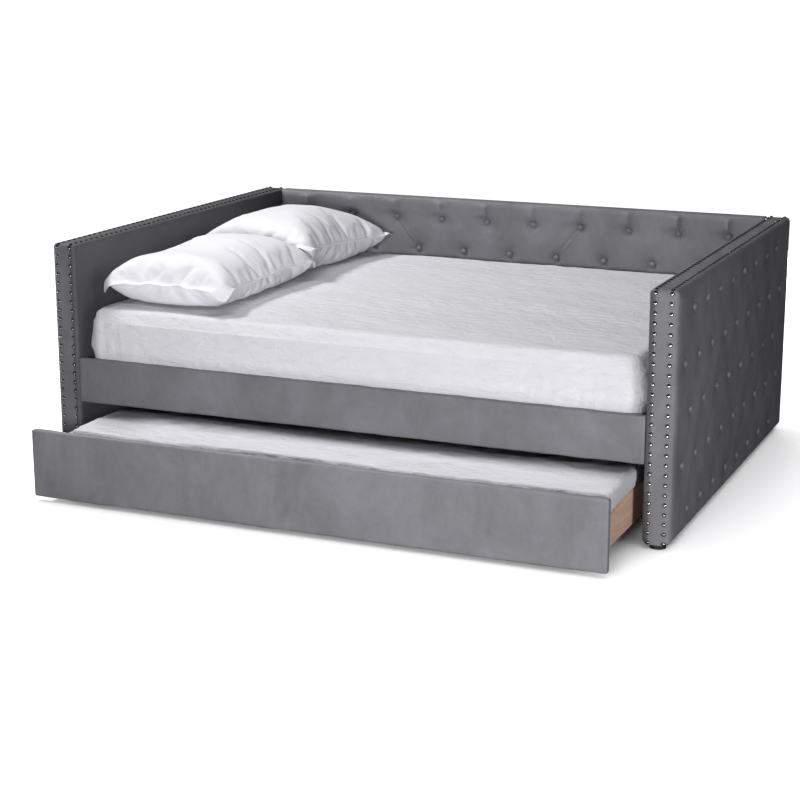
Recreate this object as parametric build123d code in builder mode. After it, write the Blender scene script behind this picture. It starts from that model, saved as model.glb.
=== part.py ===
from build123d import *
import os

# Upholstered day bed with a pull-out trundle, in millimetres.
# X runs along the bed, -Y is the front where the trundle comes out, +Z is up.
# The origin is on the floor, under the middle of the bed with its trundle part way out.

# ---- driving dimensions ----
bed_length = 2280          # over both arms
bed_depth = 1670           # from the arms' front faces to their rear faces
bed_height = 846           # floor to the top of the upholstery
arm_thickness = 92
foot_height = 16           # the upholstery stops this far above the floor
corner_radius = 15         # of the arms' top corners, seen from the side
edge_radius = 14           # where a padded face turns over its edge

padding = 20               # foam and velvet on a face
skin = 4                   # velvet and wadding round an edge
ply = 4
post_width = 40
back_thickness = 52

rail_thickness = 27
rail_bottom = 278
rail_top = 437
rear_rail_thickness = 22
rear_rail_top = 395
ledger_width = 30
ledger_bottom = 317
slat_thickness = 18
slat_bottom = 352
slat_count = 14
slat_width = 70

mattress_length = 2030
mattress_width = 1526
mattress_thickness = 252

pull_out = 332             # how far the trundle stands out of the bed as modelled
trundle_length = 2070
trundle_front_thickness = 26
trundle_front_bottom = 17
trundle_front_top = 255
box_board = 18
box_outer_x = 1010
box_inner_depth = 1000
box_bottom = 70
box_top = 200
cleat_width = 60
cleat_height = 25
box_slat_thickness = 15
box_slat_count = 13
box_slat_width = 60

wheel_radius = 25
wheel_width = 20
wheel_bore_radius = 3.05
axle_radius = 3
caster_x = 900
caster_plate = 60
sheet_metal = 2.5

nail_radius = 7
nail_height = 4
button_radius = 11
button_height = 7
dimple_bottom_radius = 13
dimple_top_radius = 42

gap = 0.5                  # between things that only rest on each other

# ---- places that follow from them ----
arm_front = -(bed_depth - pull_out) / 2
arm_rear = arm_front + bed_depth
arm_mid_y = (arm_front + arm_rear) / 2
outer_x = bed_length / 2
inner_x = outer_x - arm_thickness
seam_in_x = inner_x + padding
seam_out_x = outer_x - padding
frame_x = seam_in_x + ply
frame_width = seam_out_x - seam_in_x - 2 * ply

back_front = arm_rear - back_thickness
back_ply_y = back_front + padding
back_frame_y = back_ply_y + ply
back_frame_depth = arm_rear - skin - back_frame_y

rail_rear = arm_front + rail_thickness
rear_rail_y = back_front - rear_rail_thickness
beam_y = (rail_rear + rear_rail_y) / 2
slat_top = slat_bottom + slat_thickness
ledger_half = 975

trundle_front = arm_front - pull_out
box_front = trundle_front + trundle_front_thickness
box_rear = box_front + box_inner_depth
box_inner_x = box_outer_x - box_board
box_slat_top = box_bottom + cleat_height + box_slat_thickness
caster_y = (box_front + cleat_width / 2, box_rear - cleat_width / 2)

os.makedirs("parts", exist_ok=True)


# ---- helpers ----
def save(name, made):
    """Labels a finished sub-part and writes it."""
    made.part.label = name
    export_step(made.part, f"parts/{name}.step")


def save_pair(name, right):
    """Writes a sub-part of the right arm and its mirror image for the left one."""
    save("right_" + name, right)
    with BuildPart() as left:
        mirror(right.part, about=Plane.YZ)
    save("left_" + name, left)


def block(x_range, y_range, z_range):
    """Adds a box between three pairs of limits to the sub-part being built."""
    with BuildSketch(Plane.XY.offset(z_range[0])) as footprint:
        area(x_range, y_range)
    extrude(footprint.sketch, amount=z_range[1] - z_range[0])


def area(across, up, mode=Mode.ADD):
    """Adds a rectangle between two pairs of limits to the sketch being drawn."""
    with Locations((sum(across) / 2, sum(up) / 2)):
        Rectangle(across[1] - across[0], up[1] - up[0], mode=mode)


def arm_outline(inset, mode=Mode.ADD):
    """Draws the side view of an arm, set in from its front, top and rear."""
    with BuildSketch(mode=Mode.PRIVATE) as outline:
        area((arm_front + inset, arm_rear - inset), (foot_height, bed_height - inset))
        fillet(outline.vertices().group_by(Axis.Y)[-1], corner_radius - inset)
    add(outline.sketch, mode=mode)


def bore_along_x(spots, radius, x_range):
    """Drills holes along X at (y, z) spots through the sub-part being built."""
    with BuildSketch(Plane.YZ.offset(x_range[0])) as holes:
        with Locations(*spots):
            Circle(radius)
    extrude(holes.sketch, amount=x_range[1] - x_range[0], mode=Mode.SUBTRACT)


def bore_along_y(spots, radius, y_range):
    """Drills holes along Y at (x, z) spots through the sub-part being built."""
    with BuildSketch(Plane.XZ.offset(-y_range[0])) as holes:
        with Locations(*spots):
            Circle(radius)
    extrude(holes.sketch, amount=y_range[0] - y_range[1], mode=Mode.SUBTRACT)


def spread(count, pitch, middle=0):
    """Gives evenly spaced places about a middle."""
    return [middle + (i - (count - 1) / 2) * pitch for i in range(count)]


def tuft_rows(top, spacing, counts, pitch, middle=0):
    """Gives the (across, up) places of staggered rows of buttons, from the top row down."""
    return [
        (across, top - row * spacing)
        for row, count in enumerate(counts)
        for across in spread(count, pitch, middle)
    ]


def cap(radius, height):
    """Makes a domed head that stands on the XY plane."""
    with BuildPart() as head:
        with BuildSketch(Plane.XZ):
            with BuildLine():
                Line((0, 0), (radius, 0))
                RadiusArc((radius, 0), (0, height), -(radius**2 + height**2) / (2 * height))
                Line((0, height), (0, 0))
            make_face()
        revolve(axis=Axis.Z)
    return head.part


def screw(shank_radius, length, head_radius, head_height):
    """Makes a screw whose shank points up from a head below the XY plane."""
    with BuildPart() as fastener:
        Cylinder(shank_radius, length, align=(Align.CENTER, Align.CENTER, Align.MIN))
        Cylinder(head_radius, head_height, align=(Align.CENTER, Align.CENTER, Align.MAX))
        fillet(fastener.edges().group_by(Axis.Z)[0], head_height / 2)
    return fastener.part


# ---- where the buttons, nails and fasteners sit ----
arm_tufts = tuft_rows(759, 169, (8, 9, 8, 9, 8), 176, arm_mid_y)
back_tufts = tuft_rows(763, 132, (10, 9, 10), 202.5)

arm_bolt_spots = [
    (y, z) for y in (rail_rear + 38, rear_rail_y - 38) for z in (316, 349)
] + [(beam_y + side * 37, 330) for side in (-1, 1)]
back_bolt_spots = [(back_frame_y + back_frame_depth / 2, z) for z in (180, 450, 700)]
rail_screw_x = 1010
rail_screw_heights = (316, 349)
bolt_radius = 3
bolt_length = 58
back_bolt_length = 100
bolt_head = (5.5, 3.5)     # radius and height
screw_radius = 2
screw_length = 16

# =====================================================================
# Arms: timber frame, plywood on both sides, velvet over foam
# =====================================================================
mid_rail = (275, 380)      # takes the bolts of the bed rails
arm_rail_heights = ((foot_height, 66), mid_rail, (560, 600), (792, bed_height - skin))
between_posts = (arm_front + skin + post_width, arm_rear - skin - post_width)

with BuildPart() as arm_posts:
    with BuildSketch(Plane.YZ.offset(frame_x)):
        arm_outline(skin)
        area(between_posts, (0, bed_height), Mode.SUBTRACT)
    extrude(amount=frame_width)
    bore_along_x(back_bolt_spots, bolt_radius, (frame_x, inner_x - post_width + back_bolt_length))
save_pair("arm_posts", arm_posts)

with BuildPart() as arm_rails:
    with BuildSketch(Plane.YZ.offset(frame_x)):
        for heights in arm_rail_heights:
            area(between_posts, heights)
    extrude(amount=frame_width)
    bore_along_x(arm_bolt_spots, bolt_radius, (frame_x, inner_x + bolt_length))
save_pair("arm_rails", arm_rails)

with BuildPart() as arm_inner_ply:
    with BuildSketch(Plane.YZ.offset(seam_in_x)):
        arm_outline(skin)
    extrude(amount=ply)
    bore_along_x(arm_bolt_spots + back_bolt_spots, bolt_radius, (seam_in_x, frame_x))
save_pair("arm_inner_ply", arm_inner_ply)

with BuildPart() as arm_outer_ply:
    with BuildSketch(Plane.YZ.offset(seam_out_x - ply)):
        arm_outline(skin)
    extrude(amount=ply)
save_pair("arm_outer_ply", arm_outer_ply)

with BuildPart() as arm_inner_pad:
    with BuildSketch(Plane.YZ.offset(inner_x)):
        arm_outline(0)
    extrude(amount=padding)
    fillet(faces().sort_by(Axis.X)[0].edges(), edge_radius)
    bore_along_x(arm_bolt_spots + back_bolt_spots, bolt_radius, (inner_x, seam_in_x))
save_pair("arm_inner_pad", arm_inner_pad)

# The outer face is buttoned: each button pulls a funnel into the foam.
with BuildPart() as arm_outer_pad:
    with BuildSketch(Plane.YZ.offset(seam_out_x)):
        arm_outline(0)
    extrude(amount=padding)
    fillet(faces().sort_by(Axis.X)[-1].edges(), edge_radius)
    with Locations(*[(seam_out_x, y, z) for y, z in arm_tufts]):
        Cone(
            dimple_bottom_radius,
            dimple_top_radius,
            padding,
            rotation=(0, 90, 0),
            align=(Align.CENTER, Align.CENTER, Align.MIN),
            mode=Mode.SUBTRACT,
        )
save_pair("arm_outer_pad", arm_outer_pad)

with BuildPart() as arm_buttons:
    with Locations(*[Location((seam_out_x, y, z), (0, 90, 0)) for y, z in arm_tufts]):
        add(cap(button_radius, button_height))
save_pair("arm_buttons", arm_buttons)

# A velvet strip closes the front, top and rear between the two padded faces.
with BuildPart() as arm_edge_band:
    with BuildSketch(Plane.YZ.offset(seam_in_x)):
        arm_outline(0)
        arm_outline(skin, Mode.SUBTRACT)
    extrude(amount=seam_out_x - seam_in_x)
save_pair("arm_edge_band", arm_edge_band)

# Decorative nails follow both seams, up the front and along the top.
front_nail_heights = [foot_height + 7 + 32.5 * i for i in range(26)]
top_nail_places = spread(50, 33.6, arm_mid_y)
nail_spots = [
    Location((x, arm_front, z), (90, 0, 0))
    for x in (seam_in_x, seam_out_x)
    for z in front_nail_heights
] + [
    Location((x, y, bed_height))
    for x in (seam_in_x, seam_out_x)
    for y in top_nail_places
]
with BuildPart() as arm_nailheads:
    with Locations(*nail_spots):
        add(cap(nail_radius, nail_height))
save_pair("arm_nailheads", arm_nailheads)

with BuildPart() as arm_feet:
    with Locations(*[((inner_x + outer_x) / 2, y, 0) for y in spread(3, 801, arm_mid_y)]):
        Cylinder(27, foot_height, align=(Align.CENTER, Align.CENTER, Align.MIN))
save_pair("arm_feet", arm_feet)

# =====================================================================
# Back panel, between the arms
# =====================================================================
back_inside = (foot_height, bed_height - skin)
back_bays = ((-inner_x + post_width, -post_width / 2), (post_width / 2, inner_x - post_width))

with BuildPart() as back_posts:
    for left, right in (
        (-inner_x, -inner_x + post_width),
        (-post_width / 2, post_width / 2),
        (inner_x - post_width, inner_x),
    ):
        block((left, right), (back_frame_y, back_frame_y + back_frame_depth), back_inside)
    bore_along_x(back_bolt_spots, bolt_radius, (inner_x - post_width, inner_x))
    bore_along_x(back_bolt_spots, bolt_radius, (-inner_x, -inner_x + post_width))
save("back_posts", back_posts)

with BuildPart() as back_rails:
    for bay in back_bays:
        for heights in ((foot_height, 66), (300, 380), (792, bed_height - skin)):
            block(bay, (back_frame_y, back_frame_y + back_frame_depth), heights)
save("back_rails", back_rails)

with BuildPart() as back_ply:
    block((-inner_x, inner_x), (back_ply_y, back_frame_y), back_inside)
save("back_ply", back_ply)

with BuildPart() as back_pad:
    block((-inner_x, inner_x), (back_front, back_ply_y), (foot_height, bed_height))
    fillet(faces().sort_by(Axis.Y)[0].edges().sort_by(Axis.Z)[-1], corner_radius)
    with Locations(*[(x, back_ply_y, z) for x, z in back_tufts]):
        Cone(
            dimple_bottom_radius,
            dimple_top_radius,
            padding,
            rotation=(90, 0, 0),
            align=(Align.CENTER, Align.CENTER, Align.MIN),
            mode=Mode.SUBTRACT,
        )
save("back_pad", back_pad)

with BuildPart() as back_buttons:
    with Locations(*[Location((x, back_ply_y, z), (90, 0, 0)) for x, z in back_tufts]):
        add(cap(button_radius, button_height))
save("back_buttons", back_buttons)

with BuildPart() as back_top_band:
    block((-inner_x, inner_x), (back_ply_y, arm_rear), (bed_height - skin, bed_height))
save("back_top_band", back_top_band)

with BuildPart() as back_rear_cover:
    block((-inner_x, inner_x), (arm_rear - skin, arm_rear), back_inside)
save("back_rear_cover", back_rear_cover)

# =====================================================================
# Bed rails and the slatted base
# =====================================================================
rail_screw_spots = [
    (side * rail_screw_x, z) for side in (-1, 1) for z in rail_screw_heights
]


with BuildPart() as front_rail_board:
    block(
        (-inner_x, inner_x),
        (arm_front + skin, rail_rear - skin),
        (rail_bottom + skin, rail_top - skin),
    )
    bore_along_y(rail_screw_spots, screw_radius, (rail_rear - screw_length, rail_rear))
save("front_rail_board", front_rail_board)

with BuildPart() as front_rail_cover:
    with BuildSketch(Plane.YZ.offset(-inner_x)):
        area((arm_front, rail_rear), (rail_bottom, rail_top))
        fillet(vertices(), skin)
        area((arm_front + skin, rail_rear - skin), (rail_bottom + skin, rail_top - skin), Mode.SUBTRACT)
    extrude(amount=2 * inner_x)
    bore_along_y(rail_screw_spots, screw_radius, (rail_rear - skin, rail_rear))
save("front_rail_cover", front_rail_cover)

with BuildPart() as rear_rail:
    block((-inner_x, inner_x), (rear_rail_y, back_front), (rail_bottom, rear_rail_top))
    bore_along_y(rail_screw_spots, screw_radius, (rear_rail_y, rear_rail_y + screw_length))
save("rear_rail", rear_rail)

with BuildPart() as front_ledger:
    block((-ledger_half, ledger_half), (rail_rear, rail_rear + ledger_width), (ledger_bottom, slat_bottom))
save("front_ledger", front_ledger)

with BuildPart() as rear_ledger:
    block((-ledger_half, ledger_half), (rear_rail_y - ledger_width, rear_rail_y), (ledger_bottom, slat_bottom))
save("rear_ledger", rear_ledger)

slat_pitch = (2 * ledger_half - slat_width) / (slat_count - 1)
with BuildPart() as bed_slats:
    for x in spread(slat_count, slat_pitch):
        block(
            (x - slat_width / 2, x + slat_width / 2),
            (rail_rear + 2, rear_rail_y - 2),
            (slat_bottom, slat_top),
        )
save("bed_slats", bed_slats)

# A beam under the middle of the slats hangs in a steel shelf on each arm.
beam_height = 60
beam_bottom = slat_bottom - beam_height
hanger_metal = 3
with BuildPart() as centre_beam:
    block(
        (-inner_x + hanger_metal, inner_x - hanger_metal),
        (beam_y - 20, beam_y + 20),
        (beam_bottom, slat_bottom),
    )
save("centre_beam", centre_beam)

with BuildPart() as beam_hangers:
    with BuildSketch(Plane.XZ.offset(-(beam_y + 50))):
        area((inner_x - hanger_metal, inner_x), (beam_bottom - hanger_metal, slat_bottom))
        area((inner_x - 45, inner_x), (beam_bottom - hanger_metal, beam_bottom))
    extrude(amount=100)
    bore_along_x(arm_bolt_spots, bolt_radius, (inner_x - hanger_metal, inner_x))
    mirror(about=Plane.YZ)
save("beam_hangers", beam_hangers)

# Angle brackets join both bed rails to the arms.
bracket_heights = (300, 365)
bracket_reach = 60
bracket_face_x = inner_x - sheet_metal
with BuildPart() as rail_brackets:
    with BuildSketch(Plane.XY.offset(bracket_heights[0])):
        area((bracket_face_x, inner_x), (rail_rear, rail_rear + bracket_reach))
        area((inner_x - bracket_reach, inner_x), (rail_rear, rail_rear + sheet_metal))
    extrude(amount=bracket_heights[1] - bracket_heights[0])
    bore_along_x(arm_bolt_spots, bolt_radius, (bracket_face_x, inner_x))
    bore_along_y(rail_screw_spots, screw_radius, (rail_rear, rail_rear + sheet_metal))
    mirror(about=Plane.XZ.offset(-beam_y))
    mirror(about=Plane.YZ)
save("rail_brackets", rail_brackets)

with BuildPart() as frame_bolts:
    rail_bolt_places = [Location((bracket_face_x, y, z), (0, 90, 0)) for y, z in arm_bolt_spots[:4]]
    hanger_bolt_places = [
        Location((inner_x - hanger_metal, y, z), (0, 90, 0)) for y, z in arm_bolt_spots[4:]
    ]
    with Locations(*rail_bolt_places):
        add(screw(bolt_radius, bolt_length, *bolt_head))
    with Locations(*hanger_bolt_places):
        add(screw(bolt_radius, bolt_length, *bolt_head))
    mirror(about=Plane.YZ)
save("frame_bolts", frame_bolts)

with BuildPart() as back_bolts:
    with Locations(*[Location((inner_x - post_width, y, z), (0, 90, 0)) for y, z in back_bolt_spots]):
        add(screw(bolt_radius, back_bolt_length, *bolt_head))
    mirror(about=Plane.YZ)
save("back_bolts", back_bolts)

with BuildPart() as rail_screws:
    with Locations(*[Location((x, rail_rear + sheet_metal, z), (90, 0, 0)) for x, z in rail_screw_spots]):
        add(screw(screw_radius, screw_length, 4.5, 2.5))
    mirror(about=Plane.XZ.offset(-beam_y))
save("rail_screws", rail_screws)

# =====================================================================
# Bedding: mattress and two pillows
# =====================================================================
mattress_bottom = slat_top + gap
mattress_front = rail_rear + 8


def soft_block(x_range, y_range, z_range, corner, edge):
    """Adds a box with round upright corners and soft edges to the sub-part being built."""
    with BuildSketch(Plane.XY.offset(z_range[0])) as footprint:
        area(x_range, y_range)
        fillet(footprint.vertices(), corner)
    extrude(footprint.sketch, amount=z_range[1] - z_range[0])
    level_edges = edges().group_by(Axis.Z)
    fillet(level_edges[0] + level_edges[-1], edge)


with BuildPart() as mattress:
    soft_block(
        (-mattress_length / 2, mattress_length / 2),
        (mattress_front, mattress_front + mattress_width),
        (mattress_bottom, mattress_bottom + mattress_thickness),
        70,
        25,
    )
save("mattress", mattress)

bed_surface = mattress_bottom + mattress_thickness + gap
pillow_x = (-inner_x + 18, -inner_x + 545)


def pillow(points, crown):
    """Adds a pillow: its flat bottom, two raised tips and crowned top, seen from the end."""
    front_tip, front_foot, rear_foot, rear_tip = points
    with BuildSketch(Plane.YZ.offset(pillow_x[0])) as end_view:
        with BuildLine():
            Polyline(front_tip, front_foot, rear_foot, rear_tip)
            ThreePointArc(rear_tip, crown, front_tip)
        make_face()
    extrude(end_view.sketch, amount=pillow_x[1] - pillow_x[0])


with BuildPart() as front_pillow:
    pillow(
        (
            (arm_front + 90, bed_surface + 55),
            (arm_front + 155, bed_surface),
            (arm_front + 775, bed_surface),
            (arm_front + 855, bed_surface + 45),
        ),
        (arm_front + 475, bed_surface + 165),
    )
save("front_pillow", front_pillow)

# The rear pillow's near end lies on the far end of the front one.
with BuildPart() as rear_pillow:
    pillow(
        (
            (arm_front + 800, bed_surface + 135),
            (arm_front + 940, bed_surface),
            (arm_front + 1500, bed_surface),
            (arm_front + 1572, bed_surface + 45),
        ),
        (arm_front + 1180, bed_surface + 195),
    )
save("rear_pillow", rear_pillow)

# =====================================================================
# Trundle: velvet-covered front, open wooden box, slats, mattress
# =====================================================================
front_half = trundle_length / 2

with BuildPart() as trundle_front_board:
    block(
        (-front_half + skin, front_half - skin),
        (trundle_front + skin, box_front),
        (trundle_front_bottom + skin, trundle_front_top - skin),
    )
save("trundle_front_board", trundle_front_board)

with BuildPart() as trundle_front_cover:
    block((-front_half, front_half), (trundle_front, box_front), (trundle_front_bottom, trundle_front_top))
    fillet(faces().sort_by(Axis.Y)[0].edges(), skin)
    add(trundle_front_board.part, mode=Mode.SUBTRACT)
save("trundle_front_cover", trundle_front_cover)

for name, side in (("left", -1), ("right", 1)):
    with BuildPart() as trundle_side_board:
        block(
            sorted((side * box_inner_x, side * box_outer_x)),
            (box_front, box_rear + box_board),
            (box_bottom, box_top),
        )
    save(f"trundle_{name}_board", trundle_side_board)

with BuildPart() as trundle_back_board:
    block((-box_inner_x, box_inner_x), (box_rear, box_rear + box_board), (box_bottom, box_top))
save("trundle_back_board", trundle_back_board)

caster_spots = [(side * caster_x, y) for side in (-1, 1) for y in caster_y]
caster_screw_spots = [
    (x + step_x, y + step_y) for x, y in caster_spots for step_x in (-22, 22) for step_y in (-22, 22)
]
box_middle_y = (box_front + box_rear) / 2
with BuildPart() as trundle_cleats:
    for y in (*caster_y, box_middle_y):
        block(
            (-box_inner_x, box_inner_x),
            (y - cleat_width / 2, y + cleat_width / 2),
            (box_bottom, box_bottom + cleat_height),
        )
    with BuildSketch(Plane.XY.offset(box_bottom)):
        with Locations(*caster_screw_spots):
            Circle(screw_radius)
    extrude(amount=screw_length - sheet_metal, mode=Mode.SUBTRACT)
save("trundle_cleats", trundle_cleats)

box_slat_pitch = (2 * box_inner_x - box_slat_width - 20) / (box_slat_count - 1)
with BuildPart() as trundle_slats:
    for x in spread(box_slat_count, box_slat_pitch):
        block(
            (x - box_slat_width / 2, x + box_slat_width / 2),
            (box_front + 2, box_rear - 2),
            (box_bottom + cleat_height, box_slat_top),
        )
save("trundle_slats", trundle_slats)

# A 39 by 75 inch mattress, pushed up to the right-hand board.
with BuildPart() as trundle_mattress:
    soft_block(
        (box_inner_x - 2 - 1895, box_inner_x - 2),
        (box_front + 5, box_rear - 5),
        (box_slat_top + gap, box_slat_top + gap + 152),
        30,
        15,
    )
save("trundle_mattress", trundle_mattress)

# ---- casters: fixed forks under the cleats, one axle and wheel each ----
cheek_inside = wheel_width / 2 + 1.5
cheek_outside = cheek_inside + sheet_metal
plate_bottom = box_bottom - sheet_metal

with BuildPart() as caster_plates:
    with BuildSketch(Plane.XY.offset(plate_bottom)):
        with Locations(*caster_spots):
            RectangleRounded(caster_plate, caster_plate, 6)
        with Locations(*caster_screw_spots):
            Circle(screw_radius, mode=Mode.SUBTRACT)
    extrude(amount=sheet_metal)
save("caster_plates", caster_plates)

with BuildPart() as caster_cheeks:
    with BuildSketch(Plane.YZ.offset(cheek_inside)):
        for y in caster_y:
            with Locations((y, wheel_radius)):
                Circle(10)
            area((y - 10, y + 10), (wheel_radius, plate_bottom))
            with Locations((y, wheel_radius)):
                Circle(axle_radius, mode=Mode.SUBTRACT)
    extrude(amount=sheet_metal)
    mirror(about=Plane.YZ)
with BuildPart() as caster_forks:
    with Locations((-caster_x, 0, 0), (caster_x, 0, 0)):
        add(caster_cheeks.part)
save("caster_forks", caster_forks)

with BuildPart() as axle:
    Cylinder(axle_radius, 2 * cheek_outside)
    for end in (-1, 1):
        with Locations((0, 0, end * (cheek_outside + 1))):
            Cylinder(5, 2)
with BuildPart() as caster_axles:
    with Locations(*[Location((x, y, wheel_radius), (0, 90, 0)) for x, y in caster_spots]):
        add(axle.part)
save("caster_axles", caster_axles)

with BuildPart() as caster_screws:
    with Locations(*[(x, y, plate_bottom) for x, y in caster_screw_spots]):
        add(screw(screw_radius, screw_length, 4, 2))
save("caster_screws", caster_screws)

# Wheel section: hub, tread with rounded shoulders.
with BuildPart() as wheel:
    Cylinder(wheel_radius, wheel_width, rotation=(0, 90, 0))
    fillet(wheel.edges(), 3)
    Cylinder(wheel_bore_radius, wheel_width, rotation=(0, 90, 0), mode=Mode.SUBTRACT)
for side_name, side in (("left", -1), ("right", 1)):
    for end_name, y in zip(("front", "rear"), caster_y):
        with BuildPart() as caster_wheel:
            with Locations((side * caster_x, y, wheel_radius)):
                add(wheel.part)
        save(f"caster_wheel_{end_name}_{side_name}", caster_wheel)
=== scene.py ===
import math

import bmesh
import bpy
import numpy as np
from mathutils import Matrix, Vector


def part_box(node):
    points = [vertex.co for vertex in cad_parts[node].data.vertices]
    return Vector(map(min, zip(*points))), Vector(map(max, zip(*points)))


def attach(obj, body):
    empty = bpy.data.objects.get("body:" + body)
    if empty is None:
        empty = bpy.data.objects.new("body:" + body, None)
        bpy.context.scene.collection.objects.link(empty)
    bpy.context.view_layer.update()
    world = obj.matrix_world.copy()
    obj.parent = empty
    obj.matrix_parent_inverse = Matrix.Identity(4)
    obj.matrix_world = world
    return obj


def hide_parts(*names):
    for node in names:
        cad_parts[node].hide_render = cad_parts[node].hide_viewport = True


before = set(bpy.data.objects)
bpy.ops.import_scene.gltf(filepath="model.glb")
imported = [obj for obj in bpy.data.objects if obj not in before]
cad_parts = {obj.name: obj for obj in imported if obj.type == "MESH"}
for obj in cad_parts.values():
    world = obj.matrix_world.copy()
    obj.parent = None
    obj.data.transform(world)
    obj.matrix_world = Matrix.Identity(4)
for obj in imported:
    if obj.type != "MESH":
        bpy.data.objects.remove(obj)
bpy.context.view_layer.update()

# ---- Places read from the frame ----
right_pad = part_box("right_arm_outer_pad")
right_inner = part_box("right_arm_inner_pad")
arm_front, arm_rear = right_pad[0][1], right_pad[1][1]
arm_low, arm_top = right_pad[0][2], right_pad[1][2]
arm_mid_y = (arm_front + arm_rear) / 2
inner_x, seam_in_x = right_inner[0][0], right_inner[1][0]
seam_out_x, outer_x = right_pad[0][0], right_pad[1][0]
(back_left, back_front, back_low), (back_right, back_ply_y, back_top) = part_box("back_pad")
bed_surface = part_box("mattress")[1][2]


# ---- Materials ----
def add_node(nodes, kind, **values):
    """Adds a node and sets its properties and the inputs named in values."""
    node = nodes.new(kind)
    for key, value in values.items():
        if key in node.inputs:
            node.inputs[key].default_value = value
        else:
            setattr(node, key, value)
    return node


def grey(value, tint=0.0):
    """A neutral colour, cooler with more tint."""
    return (value, value, value * (1 + tint))


class Paint:
    """A material with a Principled shader, and the textures that feed it."""

    def __init__(self, name):
        self.material = bpy.data.materials.new(name)
        self.material.use_nodes = True
        self.nodes, self.links = self.material.node_tree.nodes, self.material.node_tree.links
        self.shader = self.nodes["Principled BSDF"]

    def object_place(self):
        return self.nodes.new("ShaderNodeTexCoord").outputs["Object"]

    def noise(self, scale, stretch=(1, 1, 1), detail=3.0, rough=0.5, twist=0.0):
        """Noise in object space, stretched along the axes."""
        mapping = add_node(self.nodes, "ShaderNodeMapping", Scale=stretch)
        texture = add_node(self.nodes, "ShaderNodeTexNoise", Scale=scale, Detail=detail,
                           Roughness=rough, Distortion=twist)
        self.links.new(self.object_place(), mapping.inputs["Vector"])
        self.links.new(mapping.outputs["Vector"], texture.inputs["Vector"])
        return texture.outputs["Fac"]

    def ramp(self, value, low, high, colour_low, colour_high):
        """Turns a value between low and high into a colour between two colours."""
        node = self.nodes.new("ShaderNodeValToRGB")
        for stop, place, colour in zip(node.color_ramp.elements, (low, high), (colour_low, colour_high)):
            stop.position, stop.color = place, (*colour, 1)
        self.links.new(value, node.inputs["Fac"])
        return node.outputs["Color"]

    def multiply(self, first, second):
        node = self.nodes.new("ShaderNodeMix")
        node.data_type, node.blend_type = "RGBA", "MULTIPLY"
        node.inputs["Factor"].default_value = 1.0
        self.links.new(first, node.inputs["A"])
        self.links.new(second, node.inputs["B"])
        return node.outputs["Result"]

    def bump(self, height, strength, distance, under=None):
        """A bump from a height, over an earlier bump if one is given."""
        node = add_node(self.nodes, "ShaderNodeBump", Strength=strength, Distance=distance)
        self.links.new(height, node.inputs["Height"])
        if under:
            self.links.new(under, node.inputs["Normal"])
        return node.outputs["Normal"]

    def finish(self, colour, rough, normal, **even):
        """Feeds the shader, sets its even values (underscores stand for spaces) and returns the material."""
        for socket, output in (("Base Color", colour), ("Roughness", rough), ("Normal", normal)):
            self.links.new(output, self.shader.inputs[socket])
        for socket, value in even.items():
            self.shader.inputs[socket.replace("_", " ")].default_value = value
        return self.material


def velvet(name, shade=0.135, nap=(1, 1, 1), rough_low=0.62, rough_high=0.72, rear_painted_shade=1.0):
    """Velvet: dark pile with sheen, brushed patches, and a fine pile grain.

    The rear value darkens it steadily from the bed's front to its rear: painted shade, deepest at the back.
    """
    paint = Paint(name)
    patches = paint.noise(5.5, nap, 5.0, 0.62, 0.6)
    brushed = paint.ramp(patches, 0.33, 0.67, grey(shade * 0.84, 0.10), grey(shade * 1.16, 0.10))
    streaks = paint.noise(38.0, nap, 4.0, 0.65)
    streaked = paint.ramp(streaks, 0.32, 0.70, grey(0.90), grey(1.0))
    pile = paint.noise(700.0, (1, 1, 1), 2.0, 0.6)
    speckled = paint.ramp(pile, 0.3, 0.7, grey(0.82), grey(1.0))
    colour = paint.multiply(paint.multiply(brushed, streaked), speckled)
    # Painted shade: the colour darkens along Y towards the rear of the bed.
    if rear_painted_shade < 1:
        split = paint.nodes.new("ShaderNodeSeparateXYZ")
        along = add_node(paint.nodes, "ShaderNodeMapRange", **{"From Min": arm_front, "From Max": arm_rear})
        paint.links.new(paint.object_place(), split.inputs["Vector"])
        paint.links.new(split.outputs["Y"], along.inputs["Value"])
        shaded_to_rear = paint.ramp(along.outputs["Result"], 0.0, 1.0, grey(1.0), grey(rear_painted_shade))
        colour = paint.multiply(colour, shaded_to_rear)
    rough = paint.ramp(patches, 0.3, 0.7, grey(rough_low), grey(rough_high))
    waved = paint.bump(paint.noise(45.0, nap, 3.0, 0.5), 0.22, 0.002)
    return paint.finish(colour, rough, paint.bump(pile, 0.30, 0.0005, waved),
                        Specular_IOR_Level=0.55, IOR=1.5, Sheen_Weight=0.10, Sheen_Roughness=0.4,
                        Sheen_Tint=(0.85, 0.85, 0.95, 1))


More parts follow.
